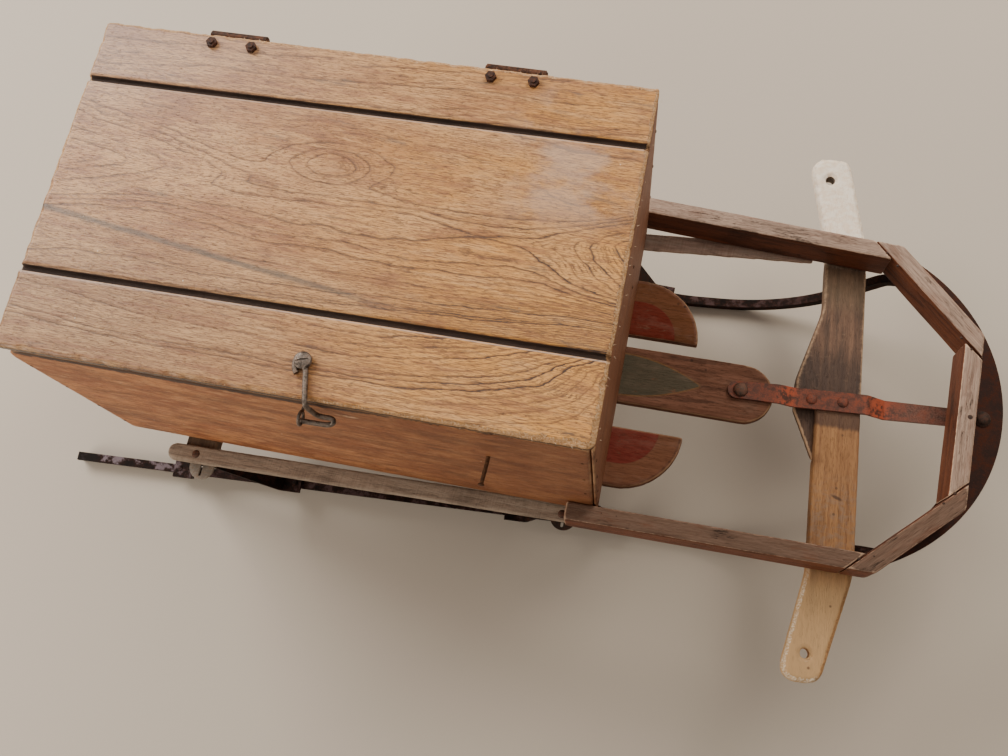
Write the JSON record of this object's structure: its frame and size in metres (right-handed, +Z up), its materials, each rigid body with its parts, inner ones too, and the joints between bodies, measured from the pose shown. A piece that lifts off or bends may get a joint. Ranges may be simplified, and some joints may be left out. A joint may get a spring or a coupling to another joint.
{
  "type": "dog sled with a lidded cargo box",
  "caption": "Old wooden steering sled on steel runners, with a lidded wooden box on its deck, a wooden guard round the nose and a turning bar with rope holes.",
  "frame": {"origin": "on the floor, in the middle of the footprint", "axes": "+X forward along the runners, +Y to the sled's left, +Z up"},
  "size_m": [1.0453, 0.5739, 0.4386],
  "materials": {
    "guard_wood": "weathered brown wood, worn edges",
    "bar_old_wood": "dark weathered wood",
    "bar_new_wood": "light tan wood",
    "grey_wood": "grey weathered wood",
    "slat_paint": "worn painted wood",
    "bench_wood": "aged wood",
    "lid_panelling": "varnished oak-grain panelling",
    "box_wood": "orange-brown varnished wood",
    "dark_rusty_steel": "dark rusty steel",
    "worn_steel": "worn grey steel",
    "red_rust_steel": "red rusty steel",
    "bolt_steel": "dull grey steel",
    "grey_steel": "dull zinc-grey steel",
    "hinge_steel": "grey steel with rust specks"
  },
  "bodies": {
    "sled": {"box_floor": "box_wood", "box_front_panel": "box_wood", "box_rear_panel": "box_wood", "box_side_left": "box_wood", "box_side_right": "box_wood", "centre_slat": "slat_paint", "front_bench": "bench_wood", "front_bench_plate": "worn_steel", "front_knee_left": "dark_rusty_steel", "front_knee_right": "dark_rusty_steel", "guard_diagonal_left": "guard_wood", "guard_diagonal_right": "guard_wood", "guard_nose": "guard_wood", "guard_rail_left": "guard_wood", "guard_rail_right": "guard_wood", "hinge_box_leaves": "hinge_steel", "hinge_pins": "hinge_steel", "outer_slat_left": "slat_paint", "outer_slat_right": "slat_paint", "peg_nail": "grey_steel", "pivot_bolt": "bolt_steel", "rear_bench": "bench_wood", "rear_bench_plate": "worn_steel", "rear_knee_left": "dark_rusty_steel", "rear_knee_right": "dark_rusty_steel", "runner_left": "dark_rusty_steel", "runner_right": "dark_rusty_steel", "screw_eye": "grey_steel", "side_rail_left": "grey_wood", "side_rail_right": "grey_wood"},
    "lid": {"lid_panel": "lid_panelling", "hinge_lid_leaves": "hinge_steel", "lid_bolts": "hinge_steel", "latch_hook": "grey_steel", "latch_screw": "grey_steel"},
    "steering": {"steering_bar_left": "bar_old_wood", "steering_bar_right": "bar_new_wood", "steering_strap": "red_rust_steel", "strap_rivets": "red_rust_steel", "front_hoop": "dark_rusty_steel", "hoop_bolt": "bolt_steel"}
  },
  "joints": [
    {"name": "lid_hinge", "type": "hinge", "parent": "sled", "child": "lid", "pos_m": [-0.13024, 0.17104, 0.422], "axis": [-1, 0, 0], "range_deg": [0, 180]},
    {"name": "steering_pivot", "type": "hinge", "parent": "sled", "child": "steering", "pos_m": [0.25476, -0.00476, 0.155], "axis": [0, 0, 1], "range_deg": [-10.5, 3.5]}
  ]
}
